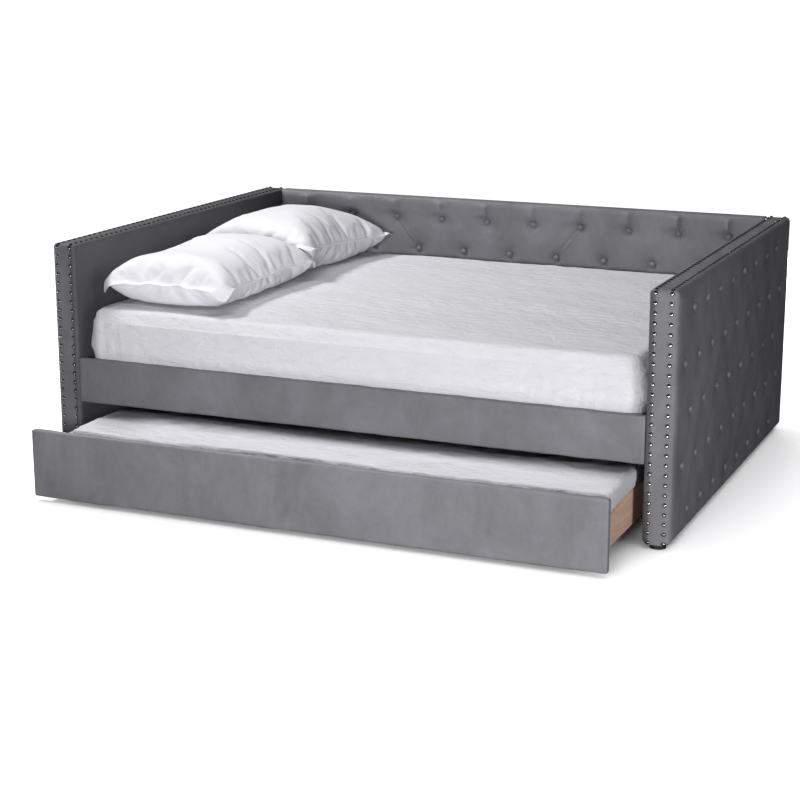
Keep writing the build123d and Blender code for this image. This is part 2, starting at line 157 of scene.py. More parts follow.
def cotton(name, shade, thread=1500.0, crease_stretch=(1, 1, 1), crease=0.13, crease_scale=16.0):
    """Bed linen: a fine plain weave with soft creases and a faint cool cast."""
    paint = Paint(name)
    mottled = paint.noise(9.0, (1, 1, 1), 4.0, 0.6)
    colour = paint.ramp(mottled, 0.25, 0.75, (shade * 0.97, shade * 0.962, shade * 1.018),
                        (shade, shade * 0.992, shade * 1.050))
    where = paint.object_place()
    weave = None
    for turn in (0.0, math.pi / 2):
        mapping = add_node(paint.nodes, "ShaderNodeMapping", Rotation=(0.35, 0.0, turn + 0.2))
        wave = add_node(paint.nodes, "ShaderNodeTexWave", Scale=thread / (2 * math.pi), Distortion=1.5,
                        Detail=1.0)
        paint.links.new(where, mapping.inputs["Vector"])
        paint.links.new(mapping.outputs["Vector"], wave.inputs["Vector"])
        weave = paint.bump(wave.outputs["Fac"], 0.08, 0.0003, weave)
    creases = paint.noise(crease_scale, crease_stretch, 5.0, 0.62, 0.8)
    rough = paint.ramp(mottled, 0.2, 0.8, grey(0.82), grey(0.92))
    return paint.finish(colour, rough, paint.bump(creases, crease, 0.008, weave),
                        Specular_IOR_Level=0.25, Sheen_Weight=0.12, Sheen_Roughness=0.5)


def timber(name, along, light=(0.78, 0.54, 0.42), dark=(0.64, 0.41, 0.31)):
    """Sawn softwood with its grain along one axis: 0 for X, 1 for Y, 2 for Z."""
    paint = Paint(name)
    stretch = [1.0, 1.0, 1.0]
    stretch[along] = 0.06
    bands = paint.noise(34.0, stretch, 4.0, 0.6, 1.2)
    fibres = paint.noise(420.0, stretch, 2.0, 0.5)
    grain = paint.ramp(bands, 0.35, 0.65, dark, light)
    lined = paint.ramp(fibres, 0.30, 0.70, grey(0.82), grey(1.0))
    rough = paint.ramp(fibres, 0.2, 0.8, grey(0.50), grey(0.68))
    raised = paint.bump(fibres, 0.18, 0.0006)
    return paint.finish(paint.multiply(grain, lined), rough, paint.bump(bands, 0.10, 0.002, raised))


def metal(name, shade, roughness, grain=0.08):
    """Plated metal with faint brushing and handling marks."""
    paint = Paint(name)
    marks = paint.noise(60.0, (1, 1, 1), 5.0, 0.6)
    tone = paint.ramp(marks, 0.3, 0.7, tuple(c * 0.86 for c in shade), shade)
    worn = paint.ramp(marks, 0.3, 0.7, grey(roughness * 0.8), grey(roughness * 1.3))
    brushing = paint.noise(700.0, (1, 1, 0.08), 2.0, 0.5)
    return paint.finish(tone, worn, paint.bump(brushing, grain, 0.0003), Metallic=1.0)


def plastic(name, shade, roughness):
    """Moulded plastic with a fine matt grain and paler scuffs."""
    paint = Paint(name)
    scuffs = paint.noise(90.0, (1, 1, 1), 5.0, 0.65)
    tone = paint.ramp(scuffs, 0.50, 0.80, shade, tuple(c * 1.8 + 0.01 for c in shade))
    worn = paint.ramp(scuffs, 0.3, 0.8, grey(roughness * 0.85), grey(roughness * 1.2))
    grain = paint.noise(1400.0, (1, 1, 1), 2.0, 0.5)
    return paint.finish(tone, worn, paint.bump(grain, 0.15, 0.0003))


UPRIGHT = (1.0, 1.0, 0.7)      # streaks a little longer up and down
BROAD = (1.0, 0.6, 1.0)        # creases longer along Y
velvet_panel = velvet("velvet_panel", shade=0.185, nap=UPRIGHT)
# The inner faces take a darker copy of the panel velvet, fading to near black at the rear: painted shade.
velvet_inner = velvet("velvet_inner", shade=0.092, nap=UPRIGHT, rear_painted_shade=0.18)
# Darker copies of the velvet for faces that look up: painted shade, the deeper one for the left arm.
velvet_upturned_shade = velvet("velvet_upturned_shade", shade=0.065)
velvet_upturned_half_shade = velvet("velvet_upturned_half_shade", shade=0.165)
# The trundle's front takes a lighter copy of the panel velvet: painted light.
velvet_trundle_painted_light = velvet("velvet_trundle_painted_light", shade=0.235, nap=UPRIGHT)
# The arm buttons take a paler, shinier copy of the velvet: the lower roughness is real shine, the paler
# colour is painted highlight.
velvet_button_painted_highlight = velvet("velvet_button_painted_highlight", shade=0.24, rough_low=0.44, rough_high=0.54)
velvet_edge = velvet("velvet_edge", shade=0.185, nap=UPRIGHT)
sheet_cotton = cotton("sheet_cotton", 0.71, crease_stretch=(0.5, 1.0, 1.0), crease=1.0, crease_scale=31.0)
pillow_cotton = cotton("pillow_cotton", 0.83, crease_stretch=BROAD)
# The rear pillow takes a darker copy of the pillow cotton: painted shade.
rear_pillow_shaded_cotton = cotton("rear_pillow_shaded_cotton", 0.77, crease_stretch=BROAD)
ticking = cotton("mattress_ticking", 0.62, thread=900.0, crease=0.18)
wood_x = timber("timber_along_x", 0)
wood_y = timber("timber_along_y", 1)
wood_z = timber("timber_along_z", 2)
plywood = timber("plywood", 1, (0.56, 0.42, 0.28), (0.47, 0.34, 0.22))
nickel = metal("polished_nickel", (0.80, 0.79, 0.78), 0.16)
# The nails' rims are painted near black: painted shade and painted dark reflection.
rim_shade_metal = metal("tarnished_rim", (0.05, 0.05, 0.05), 0.5)
zinc = metal("zinc_plate", (0.60, 0.61, 0.63), 0.34, 0.25)
foot_plastic = plastic("foot_plastic", (0.015, 0.015, 0.016), 0.45)
wheel_plastic = plastic("wheel_plastic", (0.030, 0.030, 0.033), 0.35)


# ---- Mesh helpers ----
def add_object(name, data):
    """Adds an object with the given mesh, light or camera to the scene."""
    thing = bpy.data.objects.new(name, data)
    bpy.context.scene.collection.objects.link(thing)
    return thing


def new_mesh(name, points, faces):
    mesh = bpy.data.meshes.new(name)
    mesh.from_pydata([tuple(p) for p in points], [], [tuple(int(i) for i in f) for f in faces])
    return mesh


def make_piece(name, points, faces, material, body, stands_for=(), outward=True):
    """Makes a smooth mesh piece that rides on a body and may stand for CAD nodes."""
    mesh = new_mesh(name, points, faces)
    mesh.validate()
    mesh.materials.append(material)
    mesh.polygons.foreach_set("use_smooth", np.ones(len(mesh.polygons), dtype=bool))
    mesh.set_sharp_from_angle(angle=math.radians(55))
    piece = add_object(name, mesh)
    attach(piece, body)
    if stands_for:
        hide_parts(*stands_for)
    if outward:
        work = bmesh.new()
        work.from_mesh(mesh)
        bmesh.ops.recalc_face_normals(work, faces=work.faces)
        work.to_mesh(mesh)
        work.free()
    return piece


def grid_faces(rows, columns, start=0, wrap=False):
    """Quads of a grid of points numbered row by row. A wrapped grid joins its last column to its first."""
    last = columns if wrap else columns - 1
    i, j = np.meshgrid(np.arange(rows - 1), np.arange(last), indexing="ij")
    k = (j + 1) % columns
    a, b = start + i * columns + j, start + i * columns + k
    c, d = start + (i + 1) * columns + k, start + (i + 1) * columns + j
    return np.stack([a, b, c, d], axis=-1).reshape(-1, 4)


def fan(first, count, hub, flipped=False):
    """Triangles that join a ring of count points, numbered from first, to a hub."""
    ring = [(first + i, first + (i + 1) % count) for i in range(count)]
    return [(b, a, hub) if flipped else (a, b, hub) for a, b in ring]


def rim_loop(rows, columns):
    """Numbers of a grid's rim points, in order round it."""
    return np.concatenate([
        np.arange(columns),
        columns * np.arange(1, rows) + columns - 1,
        columns * (rows - 1) + np.arange(columns - 2, -1, -1),
        columns * np.arange(rows - 2, 0, -1),
    ])


def smoothstep(share):
    """Eases a share between 0 and 1 in and out."""
    return share * share * (3 - 2 * share)


def smooth_noise(u, v, seed, cell_u, cell_v):
    """Soft random waves, mostly between -1 and 1, with bumps about one cell long each way."""
    waves = np.random.default_rng(seed)
    total = np.zeros_like(u)
    count = 14    # of the sine waves that are added up
    for _ in range(count):
        angle = waves.uniform(0, 2 * math.pi)
        pace = waves.uniform(0.6, 1.6)
        shift = waves.uniform(0, 2 * math.pi)
        along = np.cos(angle) * u / cell_u + np.sin(angle) * v / cell_v
        total += np.sin(pace * along * math.pi + shift)
    return total / math.sqrt(count)


def spaced(length, step, edge, edge_step):
    """Places from 0 to length, close together within edge of both ends."""
    inner = np.linspace(edge, length - edge, max(2, int(round((length - 2 * edge) / step)) + 1))
    near = np.linspace(0, edge, int(round(edge / edge_step)) + 1)[:-1]
    return np.concatenate([near, inner, length - near[::-1]])


def round_corners(u, v, width, height, radius):
    """Pulls the corners of a rectangle of points in to a radius."""
    du = np.maximum(np.abs(u - width / 2) - (width / 2 - radius), 0) / radius
    dv = np.maximum(np.abs(v - height / 2) - (height / 2 - radius), 0) / radius
    new_du, new_dv = du * np.sqrt(1 - dv**2 / 2), dv * np.sqrt(1 - du**2 / 2)
    u = u + np.sign(u - width / 2) * (new_du - du) * radius
    v = v + np.sign(v - height / 2) * (new_dv - dv) * radius
    return u, v


def rim_distance(u, v, width, height, radius):
    """Distance of points in from the rim of a rectangle with round corners."""
    qu = np.abs(u - width / 2) - (width / 2 - radius)
    qv = np.abs(v - height / 2) - (height / 2 - radius)
    outside = np.hypot(np.maximum(qu, 0), np.maximum(qv, 0))
    inside = np.minimum(np.maximum(qu, qv), 0)
    return np.maximum(radius - outside - inside, 0)


def upholstered_panel(place, width, height, depth, roll, relief, step, corner=0.015):
    """A padded face: a grid that rolls over at its rim, with relief, walls and a closed back.

    place(u, v, t) turns places across, up and out into points. relief(u, v) is added to t.
    """
    us, vs = spaced(width, step, roll, roll / 5), spaced(height, step, roll, roll / 5)
    u, v = np.meshgrid(us, vs, indexing="ij")
    u, v = round_corners(u, v, width, height, corner)
    rim = rim_distance(u, v, width, height, corner)
    inward = np.clip(rim / roll, 0, 1)
    rolled = depth - roll + roll * np.sqrt(np.maximum(1 - (1 - inward) ** 2, 0))
    t = rolled + relief(u, v) * smoothstep(np.clip(rim / (2.2 * roll), 0, 1))
    loop = rim_loop(*u.shape)
    base, count = u.size, len(loop)
    foot = base + np.arange(count)
    points = np.concatenate([
        place(u.ravel(), v.ravel(), t.ravel()),
        place(u.ravel()[loop], v.ravel()[loop], np.zeros(count)),
        place(np.array([width / 2]), np.array([height / 2]), np.array([0.0])),
    ])
    wall = np.stack([loop, foot, np.roll(foot, -1), np.roll(loop, -1)], axis=-1)
    quads = np.concatenate([grid_faces(*u.shape), wall])
    return points, [tuple(f) for f in quads] + fan(base, count, base + count, flipped=True)


def mirrored(place, side):
    """The same place function, mirrored in X for the left arm."""
    def mirrored_place(u, v, t):
        points = place(u, v, t)
        points[:, 0] *= side
        return points
    return mirrored_place


# ---- Tufting ----
def spread(count, pitch, middle=0.0):
    """Evenly spaced places about a middle."""
    return [middle + (i - (count - 1) / 2) * pitch for i in range(count)]


def tuft_rows(top, spacing, counts, pitch, middle=0.0):
    """Buttons in staggered rows, from the top row down, as (across, up)."""
    return [(across, top - row * spacing) for row, count in enumerate(counts)
            for across in spread(count, pitch, middle)]


def luck_of(u, v):
    """A number between 0 and 1 that depends only on a place."""
    return math.sin(u * 57.0 + v * 131.0) * 0.5 + 0.5


def tufted(buttons, height, funnel, bowl, fold, seed, upper_pleats, lower_pleats=(), creases=(),
           crested=False):
    """Gives the relief of a buttoned face: funnels in wide bowls, pinched creases, folds to the rim.

    funnel and bowl are each a depth and a radius, fold is a height, and creases are pairs of buttons.
    A crested face has sharp-topped pleats; the others have a ridge and a groove, and a pinch above
    each button.
    """
    luck = np.random.default_rng(seed)
    fold_strength = luck.uniform(0.6, 1.25, len(upper_pleats) + len(lower_pleats))
    pleat_start = 0.028 if crested else 0.012

    def button_relief(across, up, r, bu, bv):
        h = -(funnel[0] * np.exp(-(r / funnel[1]) ** 2) + bowl[0] * np.exp(-(r / bowl[1]) ** 2))
        spokes = np.cos(5 * np.arctan2(up, across) + bu * 9)
        h += 0.0007 * spokes * np.exp(-((r - 0.022) / 0.012) ** 2)
        if not crested:
            pinch = luck_of(bu, bv)
            lean = across + 0.12 * (pinch - 0.5) * up
            ridge = np.exp(-np.abs(lean) / 0.009) * np.exp(-((up - 0.022) / 0.016) ** 2)
            h += (0.0022 + 0.0030 * pinch) * ridge
        return h

    def crease_relief(u, v, a, b):
        length = math.dist(a, b)
        along = ((u - a[0]) * (b[0] - a[0]) + (v - a[1]) * (b[1] - a[1])) / length
        across = ((u - a[0]) * (b[1] - a[1]) - (v - a[1]) * (b[0] - a[0])) / length
        inside = np.clip(along / 0.01, 0, 1) * np.clip((length * 0.86 - along) / 0.03, 0, 1)
        return 0.0026 * inside * (np.exp(-((across + 0.003) / 0.0038) ** 2)
                                  - 1.2 * np.exp(-((across - 0.0035) / 0.0042) ** 2))

    def pleat_relief(across, run, length, strength):
        fade = smoothstep(np.clip(run / pleat_start, 0, 1)) * np.clip((length - run) / 0.02 + 0.35, 0, 1)
        lean = across - 0.05 * run * (strength - 0.9)
        if crested:
            profile = np.exp(-np.abs(lean) / np.where(lean < 0, 0.030, 0.014))
        else:
            profile = (np.exp(-((lean + 0.007) / 0.0085) ** 2)
                       - 1.2 * np.exp(-((lean - 0.004) / 0.0045) ** 2))
        return fold * strength * fade * profile

    def relief(u, v):
        near = np.full_like(u, 1.0)
        h = 0.0012 * smooth_noise(u, v, seed, 0.22, 0.22)
        for bu, bv in buttons:
            r = np.hypot(u - bu, v - bv)
            near = np.minimum(near, r)
            h += button_relief(u - bu, v - bv, r, bu, bv)
        h += 0.0042 * (1 - np.exp(-(near / 0.070) ** 2))
        for a, b in creases:
            h += crease_relief(u, v, a, b)
        folds = [(spot, 1) for spot in upper_pleats] + [(spot, -1) for spot in lower_pleats]
        for ((bu, bv), way), strength in zip(folds, fold_strength):
            h += pleat_relief(u - bu, (v - bv) * way, height - bv if way > 0 else bv, strength)
        return h

    return relief


def button_cluster(name, centres, place, radius, height, material, stands_for):
    """Velvet-covered buttons: crowned discs with a turned-under edge and slight pulls."""
    rings, spokes = 9, 28
    luck = np.random.default_rng(len(centres))
    points, faces = [], []
    angle = np.linspace(0, 2 * math.pi, spokes, endpoint=False)
    for bu, bv in centres:
        start = sum(len(p) for p in points)
        tip = luck.uniform(-0.06, 0.06, 2)
        pulls = luck.uniform(0, 2 * math.pi)
        for ring in range(rings):
            bend = (ring + 1) / rings * math.pi * 0.56
            r = radius * math.sin(bend) * (1 + 0.02 * np.cos(6 * angle + pulls))
            du, dv = r * np.cos(angle), r * np.sin(angle)
            t = height * (0.28 + 0.72 * math.cos(bend)) + tip[0] * du + tip[1] * dv
            points.append(place(bu + du, bv + dv, t))
        for t in (height, -0.001):
            points.append(place(np.array([bu]), np.array([bv]), np.array([t])))
        top = start + rings * spokes
        faces += [tuple(f) for f in grid_faces(rings, spokes, start, wrap=True)]
        faces += fan(start, spokes, top) + fan(top - spokes, spokes, top + 1, flipped=True)
    make_piece(name, np.concatenate(points), faces, material, "bed", [stands_for])


# ---- Arms and back ----
arm_width, arm_height = arm_rear - arm_front, arm_top - arm_low
pad_depth = outer_x - seam_out_x
arm_tufts = [(y - arm_front, z - arm_low)
             for y, z in tuft_rows(top=0.759, spacing=0.169, counts=(8, 9, 8, 9, 8), pitch=0.176,
                                   middle=arm_mid_y)]


def outer_place(u, v, t):
    """The outer face's points. Its padded top edge stands a little above the nailed seam."""
    plump = np.clip(t / 0.012, 0, 1) * np.clip((v - arm_height + 0.05) / 0.05, 0, 1) ** 2
    return np.stack([seam_out_x + t, arm_front + u, arm_low + v + 0.0040 * plump], axis=-1)


def inner_place(u, v, t):
    """The inner face's points."""
    return np.stack([seam_in_x - t, arm_front + u, arm_low + v], axis=-1)


def plain_relief(seed, height=0.0014):
    """Foam under velvet that isn't buttoned: broad soft waves."""
    def relief(u, v):
        broad = smooth_noise(u, v, seed, 0.45, 0.35)
        small = smooth_noise(u, v, seed + 1, 0.12, 0.20)
        return height * broad + 0.3 * height * small
    return relief


def make_padded_face(name, node, place, size, material, fill, **shape):
    """A padded face of the bed in place of a CAD node; returns it."""
    points, faces = upholstered_panel(place, *size, **shape)
    piece = make_piece(name, points, faces, material, "bed", [node])
    return piece


def make_arm(side, prefix, seed):
    relief = tufted(arm_tufts, arm_height, funnel=(0.0090, 0.0150), bowl=(0.0030, 0.034), fold=0.0018,
                    seed=seed, upper_pleats=arm_tufts[:8], lower_pleats=arm_tufts[-8:])
    size = (arm_width, arm_height, pad_depth)
    outer_side, inner_side = mirrored(outer_place, side), mirrored(inner_place, side)
    outer = make_padded_face(prefix + "_arm_tufted_face", prefix + "_arm_outer_pad", outer_side, size,
                             velvet_panel, 0.7, roll=0.017, relief=relief, step=0.006)
    inner = make_padded_face(prefix + "_arm_plain_face", prefix + "_arm_inner_pad", inner_side, size,
                             velvet_inner, 0.8, roll=0.012, relief=plain_relief(seed + 20), step=0.012)
    shade_upturned_faces(outer)
    shade_upturned_faces(inner)

    def button_place(u, v, t):
        return outer_side(u, v, t + pad_depth - 0.0105)

    button_cluster(prefix + "_arm_covered_buttons", arm_tufts, button_place, 0.0145, 0.0145,
                   velvet_button_painted_highlight, prefix + "_arm_buttons")


def shade_upturned_faces(piece):
    """Gives the faces that look up a darker copy of the velvet: painted shade, deeper on the left arm than
    on the right.
    """
    piece.data.materials.append(velvet_upturned_half_shade if piece.name.startswith("right") else velvet_upturned_shade)
    for polygon in piece.data.polygons:
        polygon.material_index = int(polygon.normal.z > 0.6)


def arc(centre, radius, begin, end, count):
    """The (y, z, out_y, out_z) of points along an arc."""
    return [(centre[0] + radius * math.cos(bend), centre[1] + radius * math.sin(bend),
             math.cos(bend), math.sin(bend)) for bend in np.linspace(begin, end, count)]


def edge_path():
    """The (y, z, out_y, out_z) of the line up an arm's front, over its top and down its rear."""
    corner, quarter = 0.015, math.pi / 2
    low_y, high_y, high_z = arm_front + corner, arm_rear - corner, arm_top - corner
    path = [(arm_front, z, -1.0, 0.0) for z in np.linspace(arm_low, high_z, 70)]
    path += arc((low_y, high_z), corner, math.pi, quarter, 9)[1:]
    path += [(y, arm_top, 0.0, 1.0) for y in np.linspace(low_y, high_y, 140)[1:]]
    path += arc((high_y, high_z), corner, quarter, 0.0, 9)[1:]
    path += [(arm_rear, z, 1.0, 0.0) for z in np.linspace(high_z, arm_low, 70)[1:]]
    return path


def edge_strip(name, side, stands_for, seed):
    """The velvet strip between an arm's two faces: up the front, over the top, down the rear."""
    thickness = 0.004
    y, z, out_y, out_z = (np.array(c)[:, None] for c in zip(*edge_path()))
    width = seam_out_x - seam_in_x
    near_seam = np.array([0.0, 0.0012, 0.003, 0.007, 0.014, 0.020])
    across = np.concatenate([near_seam, [width / 2], width - near_seam[::-1]])
    run = np.concatenate([[0], np.cumsum(np.hypot(np.diff(y[:, 0]), np.diff(z[:, 0])))])
    a, s = np.meshgrid(across, run)
    wave = 0.0006 * smooth_noise(s, a, seed, 0.10, 0.05) * np.sin(math.pi * a / width)

    def layer(out):
        return np.stack([side * (seam_in_x + a), y + out * out_y, z + out * out_z], axis=-1).reshape(-1, 3)

    points = np.concatenate([layer(wave), layer(np.full_like(wave, -thickness))])
    loop = rim_loop(*a.shape)
    wall = np.stack([loop, np.roll(loop, -1), np.roll(loop, -1) + a.size, loop + a.size], axis=-1)
    faces = [grid_faces(*a.shape), grid_faces(*a.shape, a.size)[:, ::-1], wall]
    shade_upturned_faces(make_piece(name, points, np.concatenate(faces), velvet_edge, "bed",
                             [stands_for]))


def nailheads(name, side, stands_for):
    """Domed nails along both seams: a bright crown on a slightly turned-up rim that is painted dark, as
    painted shade and painted dark reflection.
    """
    seams = (seam_in_x, seam_out_x)
    spots = [(x, arm_front, arm_low + 0.007 + 0.0325 * i, 0.0, 1.0) for x in seams for i in range(26)]
    spots += [(x, y, arm_top, 1.0, 0.0) for x in seams for y in spread(50, 0.0336, arm_mid_y)]
    profile = [(0.0066, -0.0006), (0.0069, 0.0), (0.0071, 0.0005), (0.0069, 0.0010), (0.0062, 0.0012),
               (0.0051, 0.0011)]
    rim_bands = len(profile) - 1
    profile += [(0.0050 * math.cos(bend), 0.0011 + 0.0031 * math.sin(bend))
                for bend in np.linspace(0.12, math.pi / 2 - 0.12, 7)]
    spokes = 18
    angle = np.linspace(0, 2 * math.pi, spokes, endpoint=False)
    luck = np.random.default_rng(len(name))
    points, faces, rim_shade_slots = [], [], []
    for x, y, z, on_top, on_front in spots:
        start = sum(len(p) for p in points)
        turn = angle + luck.uniform(0, 1)
        tilt = luck.uniform(-0.05, 0.05, 2)
        for r, t in profile:
            du, dv = r * np.cos(turn), r * np.sin(turn)
            out = t + tilt[0] * du + tilt[1] * dv
            points.append(np.stack([side * (x + du), y - out * on_front + dv * on_top,
                                    z + dv * on_front + out * on_top], axis=-1))
        for t in (0.0042, -0.0006):
            points.append(np.array([[side * x, y - t * on_front, z + t * on_top]]))
        bands = grid_faces(len(profile), spokes, start, wrap=True)
        top = start + len(profile) * spokes
        faces += [tuple(f) for f in bands]
        faces += fan(top - spokes, spokes, top) + fan(start, spokes, top + 1, flipped=True)
        rim_faces = rim_bands * spokes
        # Slot 1, the rim and the underside, takes the dark metal: painted shade.
        rim_shade_slots += [1] * rim_faces + [0] * (len(bands) - rim_faces) + [0] * spokes + [1] * spokes
    piece = make_piece(name, np.concatenate(points), faces, nickel, "bed", [stands_for])
    piece.data.materials.append(rim_shade_metal)
    piece.data.polygons.foreach_set("material_index", rim_shade_slots)
    return piece


nail_pieces = []
for side, prefix, seed in ((1, "right", 11), (-1, "left", 12)):
    make_arm(side, prefix, seed)
    edge_strip(prefix + "_arm_edge_strip", side, prefix + "_arm_edge_band", seed + 40)
    nail_pieces.append(nailheads(prefix + "_arm_domed_nails", side, prefix + "_arm_nailheads"))

back_width, back_height, back_depth = back_right - back_left, back_top - back_low, back_ply_y - back_front
back_tufts = [(x - back_left, z - back_low)
              for x, z in tuft_rows(top=0.763, spacing=0.132, counts=(10, 9, 10), pitch=0.2025)]


def back_place(u, v, t):
    """The back's padded face's points."""
    return np.stack([back_left + u, back_ply_y - t, back_low + v], axis=-1)


def back_button_place(u, v, t):
    return back_place(u, v, t + back_depth - 0.0130)


back_relief = tufted(back_tufts, back_height, funnel=(0.0095, 0.0165), bowl=(0.0065, 0.030), fold=0.0190,
                     seed=31, upper_pleats=back_tufts[:10], crested=True,
                     creases=[(back_tufts[2], back_tufts[12]), (back_tufts[6], back_tufts[15])])
make_padded_face("back_tufted_face", "back_pad", back_place, (back_width, back_height, back_depth),
                 velvet_panel, 0.7, roll=0.011, relief=back_relief, step=0.0055, corner=0.006)
button_cluster("back_covered_buttons", back_tufts, back_button_place, 0.0125, 0.0130, velvet_edge,
               "back_buttons")


def velvet_cover(name, node, out_axis, seed, wave):
    """A thin velvet cover in place of a CAD box, rolled at its rim on the side it shows."""
    low, high = (np.array(c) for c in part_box(node))
    across_axis, up_axis = [k for k in range(3) if k != out_axis]
    size = high - low
    roll = 0.0035

    def place(u, v, t):
        points = np.zeros((len(u), 3))
        for axis, moved in ((across_axis, u), (up_axis, v), (out_axis, t)):
            points[:, axis] = low[axis] + moved
        return points

    points, faces = upholstered_panel(place, size[across_axis], size[up_axis], size[out_axis], roll,
                                      plain_relief(seed, wave), step=0.02, corner=roll)
    make_piece(name, points, faces, velvet_panel, "bed", [node])


velvet_cover("back_rear_velvet", "back_rear_cover", out_axis=1, seed=51, wave=0.0012)
velvet_cover("back_top_strip", "back_top_band", out_axis=2, seed=52, wave=0.0004)


def board_ring(low, high, radius):
    """The (y, z, out_y, out_z) of points round a board's section, with rounded corners."""
    near, far, foot, top = low[1] + radius, high[1] - radius, low[2] + radius, high[2] - radius
    centres = [(near, foot), (far, foot), (far, top), (near, top)]
    begins = [math.pi, 1.5 * math.pi, 0.0, math.pi / 2]
    corners = [arc(c, radius, begin, begin + math.pi / 2, 6) for c, begin in zip(centres, begins)]
    ring = []
    for corner, following in zip(corners, corners[1:] + corners[:1]):
        (y, z, out_y, out_z), (goal_y, goal_z, _, _) = corner[-1], following[0]
        steps = max(1, int(math.dist((y, z), (goal_y, goal_z)) / 0.012))
        ring += corner + [(y + (goal_y - y) * share, z + (goal_z - z) * share, out_y, out_z)
                          for share in (step / steps for step in range(1, steps))]
    return ring


def wrapped_board(name, node, body, material, seed):
    """A board wrapped in velvet: a long tube with rounded edges, slightly slack between staples."""
    low, high = (np.array(c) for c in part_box(node))
    y, z, out_y, out_z = (np.array(c) for c in zip(*board_ring(low, high, 0.006)))
    end = np.array([0.0, 0.0008, 0.0025, 0.005])
    xs = np.concatenate([low[0] + end, np.linspace(low[0] + 0.012, high[0] - 0.012, 150),
                         high[0] - end[::-1]])
    end_gap = np.minimum(xs - low[0], high[0] - xs)
    tuck = 0.004 * (1 - np.sqrt(np.clip(end_gap / 0.005, 0, 1)))
    x, y_grid = np.meshgrid(xs, y, indexing="ij")
    z_grid = np.broadcast_to(z, x.shape)
    wave = 0.0007 * smooth_noise(x, z_grid, seed, 0.16, 0.30)
    wave += 0.0005 * smooth_noise(x, y_grid, seed + 1, 0.05, 0.30)
    lift = np.clip(wave, -0.0012, 0.0012) - tuck[:, None]
    points = np.stack([x, y_grid + lift * out_y, z_grid + lift * out_z], axis=-1).reshape(-1, 3)
    middle = [(low[1] + high[1]) / 2, (low[2] + high[2]) / 2]
    hubs = np.array([[low[0], *middle], [high[0], *middle]])
    rows, columns = x.shape
    faces = [tuple(f) for f in grid_faces(rows, columns, wrap=True)]
    faces += fan(0, columns, rows * columns, flipped=True)
    faces += fan((rows - 1) * columns, columns, rows * columns + 1)
    make_piece(name, np.concatenate([points, hubs]), faces, material, body, [node])


wrapped_board("front_rail_velvet", "front_rail_cover", "bed", velvet_panel, 61)
wrapped_board("trundle_front_velvet", "trundle_front_cover", "trundle", velvet_trundle_painted_light, 62)


# ---- Mattresses and their fitted sheets ----
def mattress_shell(low, high, corner, edge, bulge, crown, step):
    """Points and faces of a mattress: a round-cornered slab with bulging sides and a crowned top."""
    width, length, tall = high - low
    us, vs = spaced(width, step, 0.10, 0.010), spaced(length, step, 0.10, 0.010)
    u, v = np.meshgrid(us, vs, indexing="ij")
    u, v = round_corners(u, v, width, length, corner)
    rim = rim_distance(u, v, width, length, corner)
    inward = np.clip(rim / edge, 0, 1)
    drop = edge * (1 - np.sqrt(np.maximum(1 - (1 - inward) ** 2, 0)))
    dome = crown * (1 - np.exp(-rim / 0.20))
    top = np.stack([low[0] + u, low[1] + v, high[2] - crown - drop + dome], axis=-1).reshape(-1, 3)
    loop = rim_loop(*u.shape)
    ring = top[loop]
    middle = (low[:2] + high[:2]) / 2
    tangent = np.roll(ring[:, :2], -1, axis=0) - np.roll(ring[:, :2], 1, axis=0)
    normal = np.stack([tangent[:, 1], -tangent[:, 0]], axis=-1)
    normal /= np.maximum(np.linalg.norm(normal, axis=1, keepdims=True), 1e-9)
    normal *= np.sign(np.sum(normal * (ring[:, :2] - middle), axis=1, keepdims=True))
    shoulder, foot = ring[0, 2], low[2]
    levels = np.linspace(0, 1, max(10, int(tall / 0.010)) + 1)[1:]
    sides = []
    for level in levels:
        curve = math.sin(math.pi * min(1.0, level * 0.96 + 0.04)) ** 0.7
        curve *= 1 - 0.75 * min(1, max(0, level - 0.5) / 0.25)
        under = -0.012 * max(0.0, (level - 0.9) / 0.1) ** 2
        xy = ring[:, :2] + normal * (bulge * curve + under)
        sides.append(np.column_stack([xy, np.full(len(xy), shoulder + (foot - shoulder) * level)]))
    points = np.concatenate([top] + sides + [np.array([[*middle, foot]])])
    base, count = len(top), len(loop)
    first = base + np.arange(count)
    quads = np.concatenate([grid_faces(*u.shape),
                            np.stack([loop, first, np.roll(first, -1), np.roll(loop, -1)], axis=-1),
                            grid_faces(len(levels), count, base, wrap=True)])
    last = base + (len(levels) - 1) * count
    return points, [tuple(f) for f in quads] + fan(last, count, last + count, flipped=True)


def push_out(piece, amount):
    """Moves each vertex along its normal by amount(points, normals)."""
    mesh = piece.data
    places, normals = np.zeros((2, len(mesh.vertices) * 3))
    mesh.vertices.foreach_get("co", places)
    mesh.vertices.foreach_get("normal", normals)
    places, normals = places.reshape(-1, 3), normals.reshape(-1, 3)
    moved = places + normals * amount(places, normals)[:, None]
    mesh.vertices.foreach_set("co", moved.ravel())
    mesh.update()


